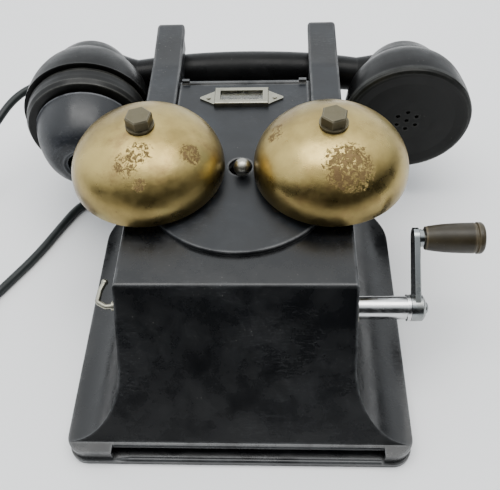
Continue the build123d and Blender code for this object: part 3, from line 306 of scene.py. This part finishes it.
def brass_gong(name, seed, patches):
    """Old olive brass with brown crusts in patches, and painted shade that darkens it towards the rim.
    """
    look = Look(name, BRASS_LIGHT, 0.3, 1.0)
    shifted = look.moved(shift=(seed, seed * 0.7, 0.0))
    tone = look.ramp(look.noise(34.0, 6.0, 0.6, shifted), 0.32, 0.68)
    base = look.mix(BRASS_DARK, BRASS_LIGHT, tone)
    height = look.node("ShaderNodeSeparateXYZ", Vector=look.place).outputs["Z"]
    # Painted shade: the brass is darkened towards the rim, low on the gong, in place of the dark room
    # it reflects there.
    low = look.ramp(height, *BRASS_RIM_SHADE_HEIGHTS, 1.0, 0.0)
    rim_shade_strength = look.ramp(look.noise(60.0, 5.0, 0.6, shifted), 0.2, 0.7, 0.35, 0.8)
    base = look.mix(base, BRASS_RIM_SHADE, look.math("MULTIPLY", low, rim_shade_strength))
    ragged = look.noise(420.0, 6.0, 0.75, shifted, 1.2)
    blotch = look.ramp(look.noise(58.0, 7.0, 0.7, shifted, 0.4), 0.5, 0.72, 0.0, 0.75)
    base = look.mix(base, BRASS_BROWN, blotch)
    green = look.ramp(look.noise(21.0, 4.0, 0.6, shifted), 0.5, 0.68, 0.0, 0.6)
    base = look.mix(base, BRASS_GREEN, green)
    crust = None
    for place, radius, strength in patches:
        gap = look.distance(look.place, tuple(c * MM for c in place))
        inside = look.ramp(gap, radius * 0.55 * MM, radius * 1.15 * MM, strength, 0.0)
        crust = inside if crust is None else look.math("MAXIMUM", crust, inside)
    shape = look.math("ADD", ragged, look.math("MULTIPLY", crust, 0.17))
    crust = look.math("MULTIPLY", look.ramp(shape, 0.58, 0.7), look.ramp(crust, 0.02, 0.3))
    base = look.mix(base, CRUST, look.math("MULTIPLY", crust, 0.8))
    spots = look.ramp(look.cells(260.0, shifted), 0.08, 0.15, 1.0, 0.0)
    spots = look.math("MULTIPLY", spots, look.ramp(look.noise(40.0, 4.0, 0.6, shifted), 0.5, 0.62))
    base = look.mix(base, SPOTS, look.math("MULTIPLY", spots, 0.6))
    look.link("Base Color", base)
    rings = look.noise(330.0, 3.0, 0.5, look.moved((1, 1, 14.0)))
    rough = look.ramp(look.noise(80.0, 8.0, 0.65, shifted), 0.3, 0.7, 0.24, 0.42)
    rough = look.math("ADD", rough, look.math("MULTIPLY", crust, 0.35))
    look.link("Roughness", rough)
    normal = look.bump(rings, GONG_RINGS, 0.5)
    normal = look.bump(look.noise(45.0, 4.0, 0.6, shifted), GONG_DENTS, 0.35, normal)
    look.link("Normal", look.bump(crust, CRUST_HEIGHT, 0.8, normal))
    return look


def paint(look, *names):
    for name in names:
        materials = NODES[name].data.materials
        materials.clear()
        materials.append(look.mat)


# Black paints and plastics: colour, dull patches, roughness, then rubbed edges where they differ.
case = enamel(
    "case_paint", (0.0025, 0.0028, 0.0034), (0.0045, 0.005, 0.006), 0.26,
    edge=(0.14, 0.145, 0.15), edge_share=0.45, scratch=0.12, shine=0.45,
)
plate = enamel(
    "plate_paint", (0.006, 0.007, 0.0088), (0.014, 0.0165, 0.0205), 0.36,
    edge=(0.2, 0.2, 0.2), edge_share=0.5, scratch=0.2, shine=0.4,
)
bakelite = enamel(
    "bakelite", (0.003, 0.003, 0.0031), (0.007, 0.007, 0.007), 0.3,
    edge=(0.08, 0.08, 0.08), edge_share=0.3, scratch=0.12, shine=0.12,
)
ear = enamel(
    "ear_plastic", (0.005, 0.0053, 0.0045), (0.012, 0.0125, 0.0105), 0.42,
    edge=(0.1, 0.1, 0.09), edge_share=0.3, scratch=0.12, shine=0.2,
)
# Painted reflection: the mouthpiece's colour, dull patches and rubbed edges are lighter and bluer than
# those of the other handset plastics, in place of the bright room it reflects. The patches, scratches
# and dust themselves are wear.
mouth = enamel(
    "mouth_plastic", (0.008, 0.0092, 0.0118), (0.02, 0.0225, 0.028), 0.32,
    edge=(0.25, 0.26, 0.28), edge_share=0.6, scratch=0.2, shine=0.4,
)
ring = enamel(
    "ring_plastic", (0.004, 0.004, 0.0038), (0.009, 0.009, 0.0085), 0.36,
    edge=(0.12, 0.12, 0.11), edge_share=0.4, scratch=0.12, shine=0.22,
)
cord_look = enamel(
    "cord_cover", (0.009, 0.0125, 0.0125), (0.02, 0.025, 0.024), 0.42,
    edge=(0.1, 0.1, 0.1), edge_share=0.2, scratch=0.1,
)
knob = enamel(
    "knob_wood", (0.020, 0.0155, 0.008), (0.05, 0.04, 0.022), 0.36,
    edge=(0.2, 0.16, 0.1), edge_share=0.5, scratch=0.3,
)
rubber = enamel("rubber", (0.012, 0.012, 0.012), (0.025, 0.025, 0.024), 0.55)
card = enamel("card_paper", (0.12, 0.118, 0.085), (0.08, 0.075, 0.053), 0.75)
insulation = enamel("inner_insulation", (0.09, 0.05, 0.03), (0.14, 0.09, 0.06), 0.5)

steel = metal("steel", (0.34, 0.33, 0.29), 0.3, stain_share=0.45)
nickel = metal("nickel", (0.30, 0.29, 0.235), 0.3, stain_share=0.5)
chrome = metal("crank_chrome", (0.6, 0.6, 0.6), 0.2, stain_share=0.2)
arm_metal = metal("crank_arm", (0.26, 0.275, 0.275), 0.2, stain_share=0.4)
bronze = metal("bolt_bronze", (0.125, 0.11, 0.072), 0.45, stain_share=0.6)
brass = metal("inner_brass", (0.6, 0.46, 0.24), 0.35)
iron = metal("inner_iron", (0.12, 0.12, 0.13), 0.5)
copper = metal("inner_copper", (0.5, 0.24, 0.12), 0.35, brush=(30, 1, 1))

glass = Look("window", (1, 1, 1), 0.08)
glass.set("Transmission Weight", 1.0)
glass.set("IOR", 1.45)

paint(case, "case_cover", "back_plate")
paint(plate, "bell_plate", "cradle_yoke")
paint(bakelite, "handset_handle")
paint(ear, "ear_cap")
paint(mouth, "mouthpiece")
paint(ring, "transmitter_ring")
paint(
    steel, "cover_screw", "bell_plate_screws", "gong_posts", "knob_pin", "clapper_rod",
    "clapper_ball", "magneto_base", "ringer_frame", "ringer_cores", "ringer_pivot_pin",
    "yoke_guides", "capacitor", "capacitor_clip", "armature_shaft", "pinion", "ringer_armature",
    "receiver_unit", "receiver_diaphragm", "transmitter_unit",
)
paint(nickel, "label_frame", "label_pins", "side_hook", "crank_bush")
paint(chrome, "crank_shaft")
paint(arm_metal, "crank_arm")
paint(bronze, "gong_washers", "gong_bolts")
paint(brass_gong("gong_brass_left", 0.31, LEFT_CRUSTS), "gong_left")
paint(brass_gong("gong_brass_right", 0.77, RIGHT_CRUSTS), "gong_right")
paint(brass, "magneto_end_plates", "drive_gear", "switch_blades", "terminal_screws")
paint(iron, "magneto_magnets", "magneto_poles", "armature_core", "ringer_magnet")
paint(copper, "ringer_coils", "armature_winding", "induction_coil")
paint(insulation, "switch_stack", "terminal_block")
paint(rubber, "cord_grommet", "cord_relief")
paint(knob, "crank_knob")
paint(card, "label_card")
paint(glass, "label_window")

# ---------------- cord ----------------

# In mm; the points are the control points of the cord's spline.
CORD_DIAMETER = 4.4
COIL_CENTRE = (-162.5, -8.3)
COIL_IN_ANGLE, COIL_OUT_ANGLE = 165.0, -36.0
COIL_STEPS = 14  # points for each turn
COIL_RADII = (27.4, 23.0, 23.0, 27.4)  # of each turn in order
COIL_HEIGHTS = (2.2, 2.2, 6.6, 6.6)
UPPER_ROUTE = (
    (-114.0, 113.0, 43.5),
    (-124.0, 110.0, 41.5),
    (-132.5, 100.0, 40.0),
    (-139.0, 85.0, 36.0),
    (-150.0, 68.0, 28.0),
    (-162.0, 50.0, 16.0),
    (-172.6, 33.0, 6.0),
    (-181.2, 18.0, 2.3),
    (-186.2, 8.3, 2.2),
)
LOWER_ROUTE = (
    (-131.5, -12.3, 2.2),
    (-117.6, 9.4, 2.2),
    (-109.5, 23.1, 2.2),
    (-102.1, 39.6, 2.2),
    (-94.2, 56.3, 2.2),
    (-80.0, 66.0, 2.3),
    (-65.0, 72.0, 6.5),
    (-52.0, 72.0, 12.0),
    (-30.0, 72.0, 12.0),
)


def coil_points():
    """Two layers of two turns: in along the outside, up, and out along the outside again."""
    points = []
    turns = len(COIL_RADII)
    total = turns * 360 + (COIL_OUT_ANGLE + 360 - COIL_IN_ANGLE) % 360
    count = int(total / 360 * COIL_STEPS)
    for i in range(count + 1):
        share = i / count
        turn = min(int(total / 360 * share), turns - 1)
        angle = math.radians(COIL_IN_ANGLE + total * share)
        x = COIL_CENTRE[0] + COIL_RADII[turn] * math.cos(angle)
        y = COIL_CENTRE[1] + COIL_RADII[turn] * math.sin(angle)
        points.append((x, y, COIL_HEIGHTS[turn]))
    return points


def nurbs(name, points, radius):
    """A round tube along one smooth open spline; points in mm, radius in metres."""
    data = bpy.data.curves.new(name, "CURVE")
    data.dimensions = "3D"
    spline = data.splines.new("NURBS")
    spline.points.add(len(points) - 1)
    for point, place in zip(spline.points, points):
        point.co = (*(c * MM for c in place), 1.0)
    spline.order_u = 3
    spline.use_endpoint_u = True
    data.bevel_depth = radius
    data.bevel_resolution = 6
    data.resolution_u = 8
    obj = bpy.data.objects.new(name, data)
    bpy.context.collection.objects.link(obj)
    return obj


route = list(UPPER_ROUTE) + coil_points() + list(LOWER_ROUTE)
cord = nurbs("handset_cord", route, CORD_DIAMETER / 2 * MM)
cord.data.materials.append(cord_look.mat)
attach(cord, "case")
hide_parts("handset_cord_upper", "handset_cord_coil", "handset_cord_lower")


def line_length(obj):
    """The length of a curve's line, measured with no thickness on it."""
    copy = obj.data.copy()
    copy.bevel_depth = 0
    probe = bpy.data.objects.new("probe", copy)
    bpy.context.collection.objects.link(probe)
    mesh = bpy.data.meshes.new_from_object(probe)
    places = [vertex.co for vertex in mesh.vertices]
    total = sum((places[a] - places[b]).length for a, b in (edge.vertices for edge in mesh.edges))
    bpy.data.objects.remove(probe)
    return total


round(line_length(cord), 2)

# ---------------- floor ----------------

floor_mesh = bpy.data.meshes.new("floor")
corners = [(FLOOR_SIDE * x, FLOOR_SIDE * y, 0) for x, y in ((-1, -1), (1, -1), (1, 1), (-1, 1))]
floor_mesh.from_pydata(corners, [], [(0, 1, 2, 3)])
floor = bpy.data.objects.new("floor", floor_mesh)
bpy.context.collection.objects.link(floor)
floor_look = Look("floor", (0.62, 0.62, 0.63), 0.75)
grain = floor_look.noise(9.0, 5.0, 0.6)
floor_look.link("Base Color", floor_look.mix((0.86, 0.86, 0.865), (0.9, 0.9, 0.905), grain))
floor.data.materials.append(floor_look.mat)
